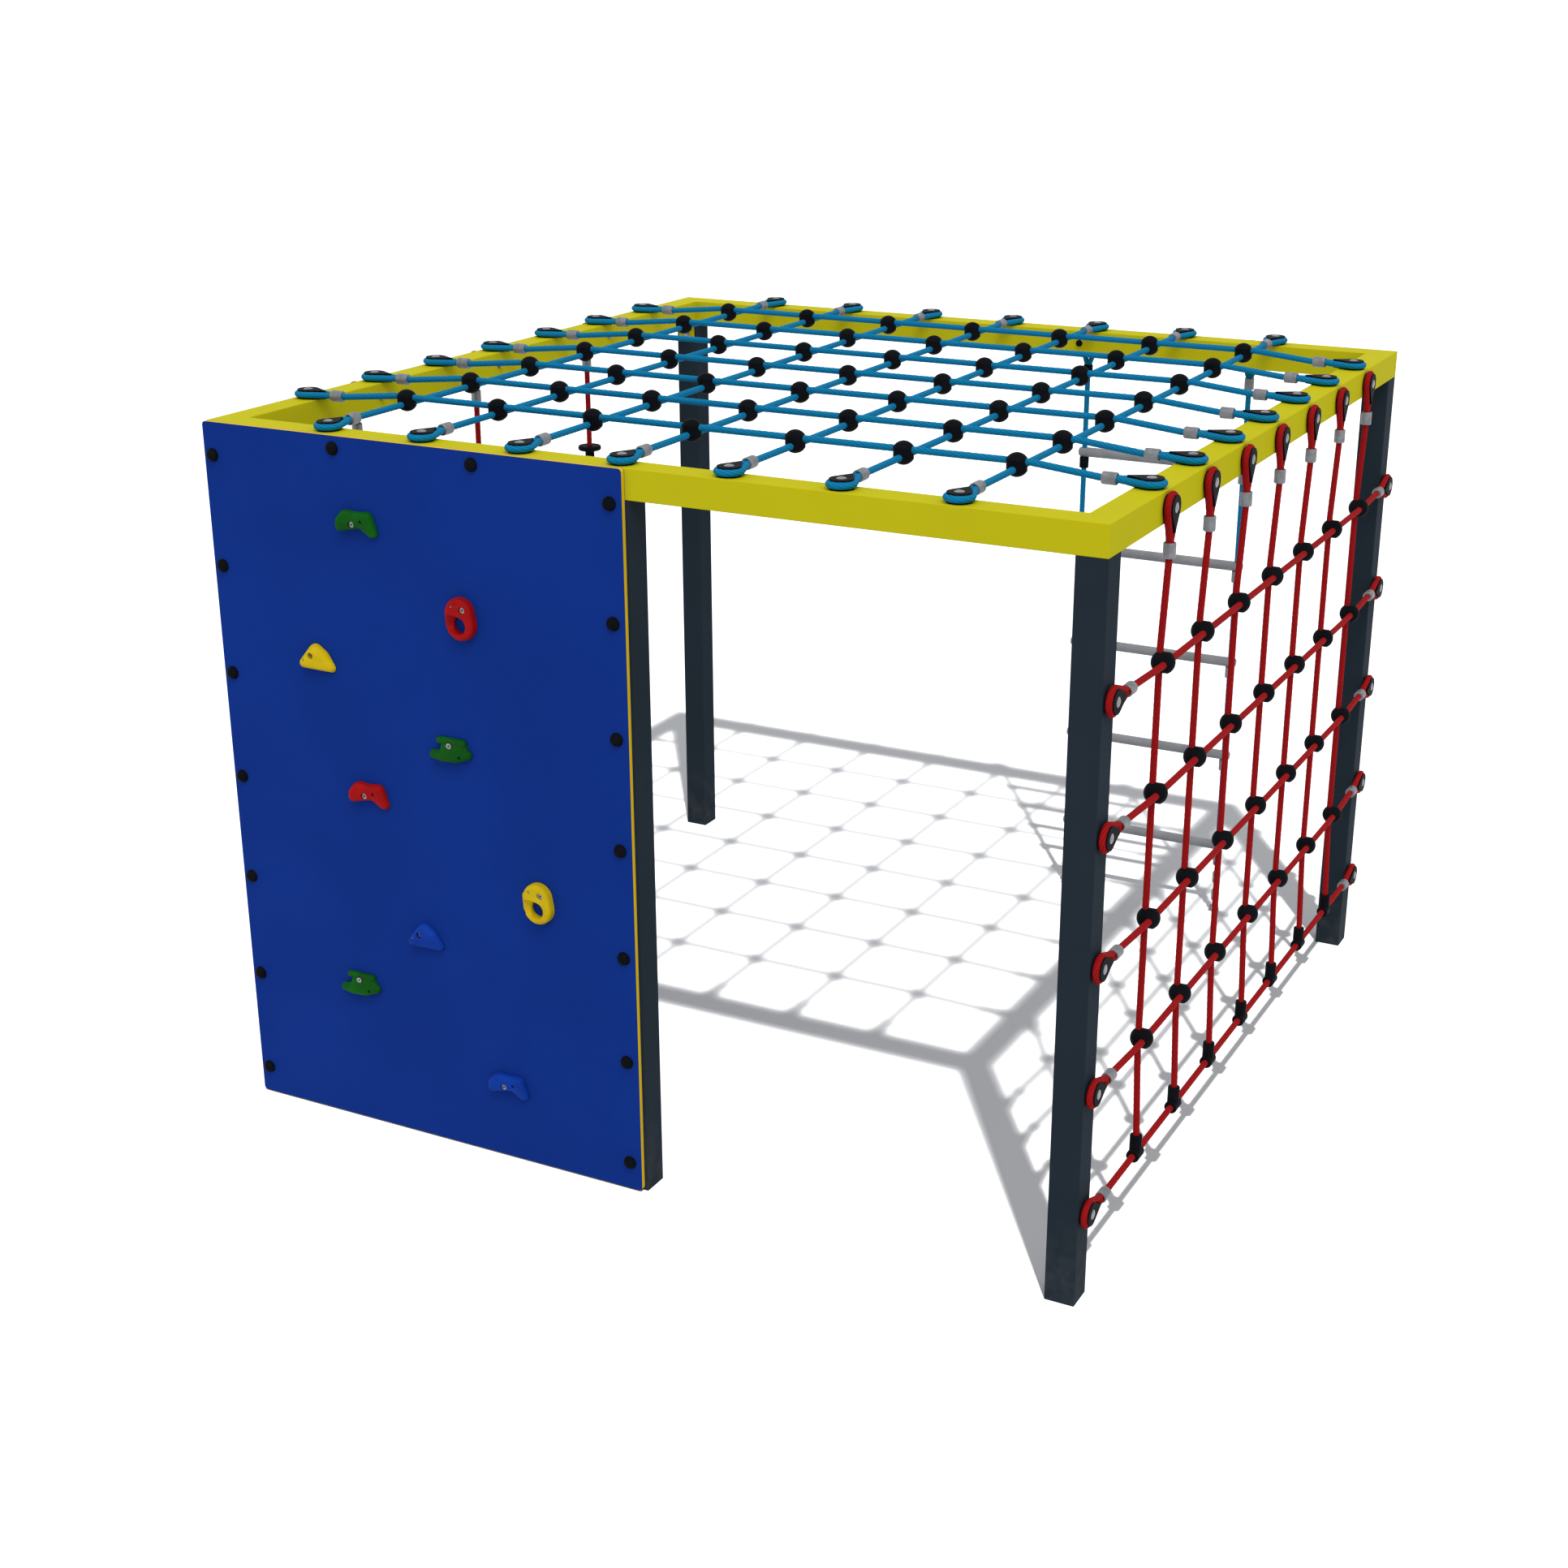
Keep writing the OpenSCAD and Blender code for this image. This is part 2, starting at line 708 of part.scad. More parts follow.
// bolts with their nuts behind the panel, and the screws that stop the holds from turning
module hold_fixings() {
    color([0.6, 0.61, 0.62]) home() for (h = hold_fix) {
        on_wall(h[0]) {
            translate(h[1][0]) {
                translate([0, 0, -panel_t - hold_nut_h])
                    cylinder(r = bolt_r, h = panel_t + hold_nut_h + h[1][2] + 1);
                translate([0, 0, h[1][2]]) difference() {
                    cylinder(r = hold_head_r, h = hold_head_h);
                    translate([0, 0, 2]) cylinder(r = 3.5, h = hold_head_h, $fn = 6);
                }
                translate([0, 0, -panel_t - hold_nut_h]) difference() {
                    cylinder(r = hold_nut_r, h = hold_nut_h);
                    translate([0, 0, -1]) cylinder(r = bolt_r + bolt_fit, h = hold_nut_h + 2);
                }
            }
            translate(h[1][1]) {
                translate([0, 0, -screw_in]) cylinder(r = screw_r, h = screw_in + h[1][3] + 1);
                translate([0, 0, h[1][3]]) dome(screw_head_r, screw_head_h);
            }
        }
    }
}

// Nets

// a rope with an eye at both ends that steps out by rise on its way through the joints
module tied_rope(span, mesh, rise) {
    step_at = tube / 2 + mesh - joint_clear;
    eye_rope();
    translate([span, 0, 0]) rotate([0, 0, 180]) eye_rope();
    if (rise == 0) {
        translate([rope_from, 0, eye_w]) rotate([0, 90, 0]) cylinder(r = rope_r, h = span - 2 * rope_from);
    } else {
        rotate([90, 0, 0])
            kinked_rope([[rope_from, eye_w], [bend_at, eye_w], [step_at, eye_w + rise],
                [span - step_at, eye_w + rise], [span - bend_at, eye_w], [span - rope_from, eye_w]]);
    }
}

module top_ropes_x() {
    color([0.08, 0.47, 0.65]) home() for (f = top_x) {
        facing(f) tied_rope(span_x, mesh_x, 2 * layer);
    }
}

module top_ropes_y() {
    color([0.08, 0.47, 0.65]) home() for (f = top_y) {
        facing(f) tied_rope(span_y, mesh_y, 0);
    }
}

module side_rows() {
    color([0.55, 0.08, 0.09]) home() for (f = rows) {
        facing(f) tied_rope(span_y, mesh_y, f[0][2] > step_z ? layer : 0);
    }
}

// an upright of the side net: in the inner layer at the joints, ending in the tee at the foot
module side_uprights() {
    in_at = eye_z - step_top - joint_clear;
    out_at = eye_z - step_z - step_pitch + joint_clear;
    foot_at = eye_z - step_z - tee_h - 10;
    foot = eye_z - step_z - tee_stop;
    color([0.55, 0.08, 0.09]) home() for (f = uprights) {
        facing(f) {
            eye_rope();
            rotate([90, 0, 0])
                kinked_rope([[rope_from, eye_w], [bend_at, eye_w], [in_at, eye_w - layer],
                    [out_at, eye_w - layer], [foot_at, eye_w], [foot, eye_w]]);
        }
    }
}

// a ball turned down at its waist, with one bore per layer of rope
module cross_joint() {
    difference() {
        intersection() {
            sphere(joint_half);
            cylinder(r = joint_r, h = 3 * joint_half, center = true);
        }
        translate([0, 0, layer]) rotate([0, 90, 0])
            cylinder(r = rope_r + rope_fit, h = 3 * joint_r, center = true);
        translate([0, 0, -layer]) rotate([90, 0, 0])
            cylinder(r = rope_r + rope_fit, h = 3 * joint_r, center = true);
    }
}

module net_joints() {
    color([0.09, 0.09, 0.1]) home() {
        for (f = top_x) {
            for (i = [1 : net_n]) {
                facing(f) translate([tube / 2 + i * mesh_x, 0, eye_w + layer]) cross_joint();
            }
        }
        for (f = [for (k = [1 : step_n - 1]) rows[k]]) {
            for (i = [1 : net_n]) {
                facing(f) translate([tube / 2 + i * mesh_y, 0, eye_w]) cross_joint();
            }
        }
    }
}

module side_tees() {
    color([0.09, 0.09, 0.1]) home() for (i = [1 : net_n]) {
        translate([frame_w + eye_w, tube + i * mesh_y, step_z]) difference() {
            union() {
                sleeve(tee_r, tee_h, edge);
                rotate([90, 0, 0]) translate([0, 0, -tee_barrel_l / 2])
                    sleeve(tee_barrel_r, tee_barrel_l, edge);
            }
            translate([0, 0, tee_stop]) cylinder(r = rope_r + rope_fit, h = tee_h);
            rotate([90, 0, 0]) cylinder(r = rope_r + rope_fit, h = 2 * tee_barrel_l, center = true);
        }
    }
}

module net_thimbles() {
    color([0.09, 0.09, 0.1]) home() for (f = net_eyes) {
        facing(f) eye_thimble(bolt_r + bolt_fit);
    }
}

module net_ferrules() {
    color([0.55, 0.56, 0.57]) home() for (f = net_eyes) {
        facing(f) eye_ferrule();
    }
}

module net_bolts() {
    color([0.6, 0.61, 0.62]) home() for (f = net_eyes) {
        facing(f) eye_bolt(thimble_t, shank_in);
    }
}

// Bolts through the beams for the ladder and the disc ropes

module rope_bolts() {
    color([0.6, 0.61, 0.62]) home() {
        for (f = ladder_eyes) {
            facing(f) eye_bolt(thimble_t + 2 * ladder_gap, tube + bolt_out);
        }
        for (f = disc_eyes) {
            facing(f) {
                eye_bolt(thimble_t + 2 * disc_gap, tube + bolt_out);
                end_nut(8, end_nut_h);
            }
        }
    }
}

module end_nut(r, h) {
    translate([0, 0, -tube]) rotate([180, 0, 0]) difference() {
        dome(r, h);
        translate([0, 0, -1]) cylinder(r = bolt_r + bolt_fit, h = bolt_out + 1 + bolt_fit);
    }
}

module ladder_caps() {
    color([0.08, 0.08, 0.09]) home() for (f = ladder_eyes) {
        facing(f) end_nut(11, end_nut_h);
    }
}

// Ladder, disc ropes and chains

// a rope from its eye straight down into the terminal above the chain
module hanging_rope(f, gap) {
    home() facing(f) translate([0, 0, gap]) {
        eye_rope();
        translate([rope_from, 0, eye_w]) rotate([0, 90, 0])
            cylinder(r = rope_r, h = eye_z - rope_foot - rope_from);
    }
}

// clamp sleeves under the higher steps and the terminal with its wire loop under the lowest
module step_fittings(x, y, under) {
    translate([x, y, 0]) {
        for (k = [1 : step_n - 1]) {
            translate([0, 0, step_z + k * step_pitch - under - seat_gap - sleeve_l]) difference() {
                sleeve(sleeve_r, sleeve_l, edge);
                translate([0, 0, -1]) cylinder(r = rope_r + rope_fit, h = sleeve_l + 2);
            }
        }
        difference() {
            translate([0, 0, terminal_z]) sleeve(sleeve_r, terminal_l, edge);
            translate([0, 0, rope_foot]) cylinder(r = rope_r + rope_fit, h = terminal_l);
        }
        translate([0, 0, chain_z]) rotate([90, 0, 0])
            bent_bar([[-loop_half, loop_drop + edge], [-loop_half, 0], [loop_half, 0],
                [loop_half, loop_drop + edge]], wire_r, loop_bend);
    }
}

module chain_link() {
    for (s = [0, 180]) {
        rotate([0, 0, s]) translate([link_straight / 2, 0, 0]) rotate([0, 0, -90])
            rotate_extrude(angle = 180) translate([link_bend, 0]) circle(wire_r);
    }
    for (s = [-1, 1]) {
        translate([-link_straight / 2, s * link_bend, 0]) rotate([0, 90, 0])
            cylinder(r = wire_r, h = link_straight);
    }
}

module chain_at(x, y) {
    for (i = [0 : link_n - 1]) {
        translate([x, y, chain_z - link_straight / 2 - i * link_step])
            rotate([0, 0, i % 2 == 0 ? 0 : 90]) rotate([0, 90, 0]) chain_link();
    }
}

module staple_at(x, y) {
    translate([x, y, 0]) rotate([90, 0, 0])
        bent_bar([[-loop_half - 4, 0], [-loop_half - 4, staple_z], [loop_half + 4, staple_z],
            [loop_half + 4, 0]], wire_r, loop_bend);
}

module staples() {
    color([0.5, 0.51, 0.52]) home() {
        for (f = ladder_eyes) {
            staple_at(f[0][0], ladder_y);
        }
        for (f = disc_eyes) {
            staple_at(disc_x, f[0][1]);
        }
    }
}

module ladder_ropes() {
    color([0.08, 0.47, 0.65]) for (f = ladder_eyes) {
        hanging_rope(f, ladder_gap);
    }
}

module ladder_thimbles() {
    color([0.09, 0.09, 0.1]) home() for (f = ladder_eyes) {
        facing(f) translate([0, 0, ladder_gap]) eye_thimble(bolt_r + 0.5);
    }
}

module ladder_side(s) {
    home() {
        facing(ladder_eyes[s]) translate([0, 0, ladder_gap]) eye_ferrule();
        step_fittings(ladder_x + s * ladder_w, ladder_y, rung_r);
    }
}

module ladder_black() {
    color([0.09, 0.09, 0.1]) ladder_side(0);
}

module ladder_grey() {
    color([0.55, 0.56, 0.57]) ladder_side(1);
}

module ladder_rungs() {
    color([0.55, 0.56, 0.57]) home() for (k = [0 : step_n - 1]) {
        translate([ladder_x - rung_over, ladder_y, step_z + k * step_pitch]) difference() {
            rotate([0, 90, 0]) sleeve(rung_r, ladder_w + 2 * rung_over, rung_r / 2);
            for (s = [0, 1]) {
                translate([rung_over + s * ladder_w, 0, 0])
                    cylinder(r = rope_r + rope_fit, h = 2 * rung_d, center = true);
            }
        }
    }
}

module ladder_chains() {
    color([0.5, 0.51, 0.52]) home() for (f = ladder_eyes) {
        chain_at(f[0][0], ladder_y);
    }
}

module disc_thimble(i) {
    color([0.09, 0.09, 0.1]) home() facing(disc_eyes[i]) translate([0, 0, disc_gap])
        eye_thimble(bolt_r + bolt_fit);
}

module disc_ferrule(i) {
    color([0.55, 0.56, 0.57]) home() facing(disc_eyes[i]) translate([0, 0, disc_gap]) eye_ferrule();
}

module disc_fittings(i) {
    color([0.09, 0.09, 0.1]) home() step_fittings(disc_x, disc_eyes[i][0][1], rung_r);
}

module discs(i) {
    color([0.09, 0.09, 0.1]) home() for (k = [0 : step_n - 1]) {
        translate([disc_x, disc_eyes[i][0][1], step_z + k * step_pitch - rung_r]) difference() {
            sleeve(disc_d / 2, disc_t, disc_t / 3);
            translate([0, 0, -1]) cylinder(r = rope_r + rope_fit, h = disc_t + 2);
        }
    }
}

module disc_chain(i) {
    color([0.5, 0.51, 0.52]) home() chain_at(disc_x, disc_eyes[i][0][1]);
}

module disc_rope_front() { color([0.55, 0.08, 0.09]) hanging_rope(disc_eyes[0], disc_gap); }
module disc_rope_mid() { color([0.55, 0.08, 0.09]) hanging_rope(disc_eyes[1], disc_gap); }
module disc_rope_back() { color([0.55, 0.08, 0.09]) hanging_rope(disc_eyes[2], disc_gap); }
module disc_thimble_front() { disc_thimble(0); }
module disc_thimble_mid() { disc_thimble(1); }
module disc_thimble_back() { disc_thimble(2); }
module disc_ferrule_front() { disc_ferrule(0); }
module disc_ferrule_mid() { disc_ferrule(1); }
module disc_ferrule_back() { disc_ferrule(2); }
module disc_fittings_front() { disc_fittings(0); }
module disc_fittings_mid() { disc_fittings(1); }
module disc_fittings_back() { disc_fittings(2); }
module discs_front() { discs(0); }
module discs_mid() { discs(1); }
module discs_back() { discs(2); }
module disc_chain_front() { disc_chain(0); }
module disc_chain_mid() { disc_chain(1); }
module disc_chain_back() { disc_chain(2); }

post_front_left();
post_front_mid();
post_front_right();
post_back_left();
post_back_right();
beam_front();
beam_back();
beam_left();
beam_right();
brackets();
frame_bolts();
wall_panel();
wall_caps();
hold_bean_green();
hold_ring_red();
hold_wedge_yellow();
hold_ledge_high();
hold_bean_red();
hold_ring_yellow();
hold_wedge_blue();
hold_ledge_low();
hold_bean_blue();
hold_fixings();
top_ropes_x();
top_ropes_y();
side_uprights();
side_rows();
net_joints();
side_tees();
net_thimbles();
net_ferrules();
net_bolts();
rope_bolts();
ladder_caps();
staples();
ladder_ropes();
ladder_thimbles();
ladder_black();
ladder_grey();
ladder_rungs();
ladder_chains();
disc_rope_front();
disc_thimble_front();
disc_ferrule_front();
disc_fittings_front();
discs_front();
disc_chain_front();
disc_rope_mid();
disc_thimble_mid();
disc_ferrule_mid();
disc_fittings_mid();
discs_mid();
disc_chain_mid();
disc_rope_back();
disc_thimble_back();
disc_ferrule_back();
disc_fittings_back();
discs_back();
disc_chain_back();
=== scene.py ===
# A playground climbing cube: painted square tubes, a climbing wall, rope nets,
# a rope ladder and disc ropes, shown on a pale studio floor.
import math

import bmesh
import bpy
import numpy as np
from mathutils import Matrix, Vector


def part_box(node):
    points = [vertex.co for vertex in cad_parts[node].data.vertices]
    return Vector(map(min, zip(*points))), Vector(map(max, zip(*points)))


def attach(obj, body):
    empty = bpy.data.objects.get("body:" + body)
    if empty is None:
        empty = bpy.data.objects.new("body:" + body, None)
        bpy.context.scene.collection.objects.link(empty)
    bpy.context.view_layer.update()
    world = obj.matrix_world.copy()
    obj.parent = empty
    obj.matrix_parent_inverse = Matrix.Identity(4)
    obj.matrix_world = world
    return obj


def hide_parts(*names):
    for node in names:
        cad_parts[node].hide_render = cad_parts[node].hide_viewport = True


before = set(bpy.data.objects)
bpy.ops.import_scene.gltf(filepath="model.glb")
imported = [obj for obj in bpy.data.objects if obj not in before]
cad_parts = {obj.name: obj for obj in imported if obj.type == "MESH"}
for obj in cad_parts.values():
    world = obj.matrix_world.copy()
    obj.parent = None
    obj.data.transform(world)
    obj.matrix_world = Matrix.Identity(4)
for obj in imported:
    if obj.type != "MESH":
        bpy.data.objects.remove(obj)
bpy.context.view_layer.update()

# Posts: square steel tubes, cut to length and closed with a plate at the foot.
# Dark blue-grey powder coat with a fine texture, a little dusty near the ground.


class Sock:
    """One output in a material, so that sums of shader values read as sums."""

    def __init__(self, tree, out=None):
        self.tree = tree
        self.out = out

    def node(self, kind, settings, inputs, out=0):
        made = self.tree.nodes.new("ShaderNode" + kind)
        for key, value in settings.items():
            setattr(made, key, value)
        for key, value in inputs.items():
            self.feed(value, made.inputs[key])
        return Sock(self.tree, made.outputs[out])

    def feed(self, value, socket):
        if isinstance(value, Sock):
            self.tree.links.new(value.out, socket)
        else:
            socket.default_value = value

    def math(self, operation, a, b=0.0):
        return self.node("Math", {"operation": operation}, {0: a, 1: b})

    def __add__(self, other):
        return self.math("ADD", self, other)

    def __radd__(self, other):
        return self.math("ADD", other, self)

    def __sub__(self, other):
        return self.math("SUBTRACT", self, other)

    def __rsub__(self, other):
        return self.math("SUBTRACT", other, self)

    def __mul__(self, other):
        return self.math("MULTIPLY", self, other)

    def __rmul__(self, other):
        return self.math("MULTIPLY", other, self)

    def ramp(self, low, high):
        return self.node("MapRange", {"interpolation_type": "SMOOTHSTEP"},
                         {"Value": self, "From Min": low, "From Max": high})

    def tint(self, a, b):
        return self.node("Mix", {"data_type": "RGBA"}, {0: self, 6: a, 7: b}, out=2)

    def noise(self, where, scale, detail=3.0):
        return self.node("TexNoise", {}, {"Vector": where, "Scale": scale, "Detail": detail})

    def bump(self, height, strength, distance):
        return self.node("Bump", {}, {"Height": height, "Strength": strength, "Distance": distance})


def srgb(r, g, b):
    """A colour as read off a screen, as the linear values a shader takes."""
    parts = [c / 255 for c in (r, g, b)]
    return tuple(c / 12.92 if c < 0.04 else ((c + 0.055) / 1.055) ** 2.4 for c in parts) + (1.0,)


def finish(name, sheen):
    """A new material: itself, a first Sock of its tree, its shader and the object's own coordinates."""
    material = bpy.data.materials.new(name)
    material.use_nodes = True
    tree = material.node_tree
    shader = tree.nodes["Principled BSDF"]
    shader.inputs["Specular IOR Level"].default_value = sheen
    start = Sock(tree)
    return material, start, shader, start.node("TexCoord", {}, {}, out=3)


def wear(material, *names):
    """These CAD nodes take that material."""
    for name in names:
        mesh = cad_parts[name].data
        mesh.materials.clear()
        mesh.materials.append(material)


def powder_coat(name, colour, shade, dust):
    """Sprayed and baked paint: fine specks, soft clouds, and dust that thins out above the ground."""
    speck_scale, cloud_scale, dust_scale, dust_top = 900.0, 3.0, 22.0, 0.3
    material, start, shader, where = finish(name, 0.005)
    speck = start.noise(where, speck_scale, 2.0)
    cloud = start.noise(where, cloud_scale)
    height = start.node("SeparateXYZ", {}, {"Vector": where}, out=2)
    grime = (1.0 - height.ramp(0.0, dust_top)) * start.noise(where, dust_scale).ramp(0.35, 0.75) * dust
    paint = (cloud.ramp(0.3, 0.7) * 0.6 + speck.ramp(0.3, 0.7) * 0.4).tint(shade, colour)
    start.feed(grime.tint(paint, srgb(120, 112, 100)), shader.inputs["Base Color"])
    start.feed(0.42 + speck * 0.14 + grime * 0.3, shader.inputs["Roughness"])
    start.feed(start.bump(speck, 0.12, 0.0006), shader.inputs["Normal"])
    return material


dark_coat = powder_coat("dark_paint", srgb(38, 47, 56), srgb(34, 43, 51), 0.12)
wear(dark_coat, "post_front_left", "post_front_mid", "post_front_right", "post_back_left",
     "post_back_right")

# Beams and corner brackets: the same steel tube mitred and welded into a ring, and bent plate angles
# that bolt it to the posts. Lemon yellow powder coat.
yellow_coat = powder_coat("yellow_paint", srgb(189, 182, 25), srgb(183, 176, 22), 0.0)
wear(yellow_coat, "beam_front", "beam_back", "beam_left", "beam_right", "brackets")

# Climbing wall: one sawn sheet of three-layer plastic, blue skins on a yellow core, with a leather grain.
# The core shows at the sawn edges. Bolted flat to two posts and the front beam.
panel_low, panel_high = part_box("wall_panel")
skin, skin_blur, panel_edge = 0.0012, 0.0006, 0.0015
panel_paint, start, shader, where = finish("panel_blue", 0.015)
depth = start.node("SeparateXYZ", {}, {"Vector": where}, out=1)
core = depth.ramp(panel_low[1] + skin, panel_low[1] + skin + skin_blur) * (
    1.0 - depth.ramp(panel_high[1] - skin - skin_blur, panel_high[1] - skin))
facing = start.node("SeparateXYZ", {}, {"Vector": start.node("NewGeometry", {}, {}, out=1)}, out=1)
sawn = core * (1.0 - start.math("ABSOLUTE", facing).ramp(0.4, 0.6))
grain = start.node("TexVoronoi", {}, {"Vector": where, "Scale": 420.0})
cloud = start.noise(where, 2.2)
scuff = start.noise(start.node("Mapping", {}, {"Vector": where, "Rotation": (0.0, 0.5, 0.0),
                                               "Scale": (6.0, 6.0, 60.0)}), 4.0, 5.0).ramp(0.66, 0.8)
blue = cloud.ramp(0.3, 0.7).tint(srgb(15, 46, 125), srgb(17, 49, 131))
blue = (scuff * 0.1).tint(blue, srgb(70, 98, 170))
start.feed(sawn.tint(blue, srgb(214, 179, 16)), shader.inputs["Base Color"])
start.feed(0.5 + scuff * 0.18 + grain * 0.1, shader.inputs["Roughness"])
start.feed(start.bump(grain, 0.1, 0.0005), shader.inputs["Normal"])
wear(panel_paint, "wall_panel")


def soften(name, width):
    """Rounds the sharp edges of a CAD node by a bevel."""
    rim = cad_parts[name].modifiers.new("soft_edge", "BEVEL")
    rim.width = width
    rim.segments = 2
    rim.limit_method = "ANGLE"
    rim.angle_limit = math.radians(50)


soften("wall_panel", panel_edge)

# Bolt caps, net thimbles, cross joints, tees and the ladder's black sleeves: injection-moulded plastic,
# satin with a fine spark-eroded texture. Pressed over bolts or closed around the ropes.
thimble_edge = 0.0012


def moulded(name, colour, shade, rough, scale, sheen):
    """Moulded plastic or cast resin, with a texture of this scale and soft clouds of colour."""
    material, start, shader, where = finish(name, sheen)
    fine = start.noise(where, scale, 4.0)
    cloud = start.noise(where, 18.0)
    start.feed(cloud.ramp(0.3, 0.7).tint(shade, colour), shader.inputs["Base Color"])
    start.feed(rough + fine * 0.16, shader.inputs["Roughness"])
    start.feed(start.bump(fine, 0.15, 0.0005), shader.inputs["Normal"])
    return material


black_plastic = moulded("black_plastic", srgb(18, 19, 23), srgb(14, 15, 18), 0.42, 1400.0, 0.012)
wear(black_plastic, "wall_caps", "net_joints", "side_tees", "net_thimbles", "ladder_caps",
     "ladder_thimbles", "ladder_black")
soften("net_thimbles", thimble_edge)
soften("ladder_thimbles", thimble_edge)

# Holds: cast resin grips in four colours with a sandy grain, each drawn to the panel by a bolt and kept
# from turning by a small screw. The cast forms are rounded all over.
# A ring has a low foot beside its scoop, the hull of two balls on the panel.
foot_r, foot_sunk, ring_reach = 0.0145, 0.002, 0.036
foot_ends = ((-0.0360, 0.011), (-0.0335, -0.024))


def with_foot(shape, name):
    """Adds the foot of a ring to this copy of its mesh."""
    low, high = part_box(name)
    middle = Vector((low[0] + ring_reach, high[1], (low[2] + high[2]) / 2))
    ball, foot, whole = bmesh.new(), bmesh.new(), bmesh.new()
    bmesh.ops.create_icosphere(ball, subdivisions=3, radius=foot_r)
    for across, up_wall in foot_ends:
        for vertex in ball.verts:
            place = middle + Vector((across, foot_sunk, up_wall)) + vertex.co
            place.y = min(place.y, high[1])
            foot.verts.new(place)
    inside = bmesh.ops.convex_hull(foot, input=foot.verts)["geom_interior"]
    bmesh.ops.delete(foot, geom=[v for v in inside if isinstance(v, bmesh.types.BMVert)], context="VERTS")
    pad = bpy.data.meshes.new("foot")
    foot.to_mesh(pad)
    whole.from_mesh(shape)
    whole.from_mesh(pad)
    whole.to_mesh(shape)


hold_colours = {
    "hold_green": (srgb(16, 87, 19), srgb(12, 71, 15),
                   ("hold_bean_green", "hold_ledge_high", "hold_ledge_low")),
    "hold_red": (srgb(162, 17, 18), srgb(144, 14, 15), ("hold_ring_red", "hold_bean_red")),
    "hold_yellow": (srgb(203, 176, 18), srgb(188, 159, 13), ("hold_wedge_yellow", "hold_ring_yellow")),
    "hold_blue": (srgb(13, 55, 152), srgb(11, 49, 137), ("hold_wedge_blue", "hold_bean_blue")),
}
for slot, (colour, shade, names) in hold_colours.items():
    resin = moulded(slot, colour, shade, 0.42, 700.0, 0.05)
    for name in names:
        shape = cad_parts[name].data.copy()
        if "ring" in name:
            with_foot(shape, name)
        cast = bpy.data.objects.new("cast_" + name, shape)
        bpy.context.scene.collection.objects.link(cast)
        grid = cast.modifiers.new("grid", "REMESH")
        grid.mode = "VOXEL"
        grid.voxel_size = 0.0014
        flow = cast.modifiers.new("flow", "SMOOTH")
        flow.factor = 0.5
        flow.iterations = 8
        bpy.context.view_layer.update()
        shape = bpy.data.meshes.new_from_object(cast.evaluated_get(bpy.context.evaluated_depsgraph_get()))
        cast.modifiers.clear()
        cast.data = shape
        shape.materials.clear()
        shape.materials.append(resin)
        shape.shade_smooth()
        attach(cast, "frame")
        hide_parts(name)

# Ropes: six-strand rope of 17 mm, steel wires in each strand under a dyed textile cover. Every end is laid
# round a thimble and pressed back onto itself in a ferrule.
rope_r = 0.0085
strands, strand_at, strand_r, lay_length = 6, 0.0037, 0.0051, 0.105
eye_r, meet_at, eye_lift, eye_points = 0.030, 0.090, 0.0125, 40
leg = math.asin(eye_r / meet_at)
pressed_from, pressed_to, joined_at = 0.086, 0.094, 0.106
apart_from, apart_to = 0.0028, 0.0042
corner = Vector(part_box("post_front_left")[0])
far_corner = Vector((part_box("post_back_right")[1][0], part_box("post_back_right")[1][1], 0.0))
frame_w, frame_d = far_corner.x - corner.x, far_corner.y - corner.y
frame_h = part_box("beam_front")[1][2]
tube = frame_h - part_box("beam_front")[0][2]


def rope_cover(name, colour, groove_shade_and_yarn_colour):
    """Dyed yarn over the strands, with painted shade that darkens the grooves between them, and darker yarn
    at random.
    """
    material, start, shader, where = finish(name, 0.04)
    lay = start.node("UVMap", {"uv_map": "lay"}, {})
    across = start.node("SeparateXYZ", {}, {"Vector": lay}, out=1)
    ridge = 1.0 - start.math("ABSOLUTE", start.math("FRACT", across) - 0.5) * 2.0
    yarn = start.noise(start.node("Mapping", {}, {"Vector": lay, "Scale": (30.0, 9.0, 1.0)}), 2.0, 3.0)
    fuzz = start.noise(where, 700.0, 3.0)
    # Painted shade: the cover darkens towards the grooves between the strands.
    cover = ridge.ramp(0.0, 0.5).tint(groove_shade_and_yarn_colour, colour)
    start.feed((yarn.ramp(0.35, 0.7) * 0.35).tint(cover, groove_shade_and_yarn_colour), shader.inputs["Base Color"])
    start.feed(0.62 + fuzz * 0.2, shader.inputs["Roughness"])
    start.feed(start.bump(yarn * 0.7 + fuzz * 0.3, 0.35, 0.0008), shader.inputs["Normal"])
    return material


def eye_path():
    """An eye from the cut end in the ferrule round the thimble and back, flat, as (along, sideways)."""
    turn = math.pi / 2 - leg
    loop = [(eye_r * math.cos(t), eye_r * math.sin(t))
            for t in np.linspace(-turn, turn - 2 * math.pi, eye_points)]
    cut_end = [(pressed_to, -apart_to), (pressed_from, -apart_from)]
    neck = [(pressed_from, apart_from), (pressed_to, apart_to), (joined_at, 0.0)]
    return cut_end + loop + neck


def rope_path(start, along, out, places, span):
    """The middle line of a rope from its eye through (along, out) places, with a second eye at any span."""
    side = out.cross(along)
    flat = [(u, v, eye_lift) for u, v in eye_path()] + [(u, 0.0, w) for u, w in places]
    if span:
        flat += [(span - u, -v, eye_lift) for u, v in reversed(eye_path())]
    return np.array([start + u * along + v * side + w * out for u, v, w in flat])


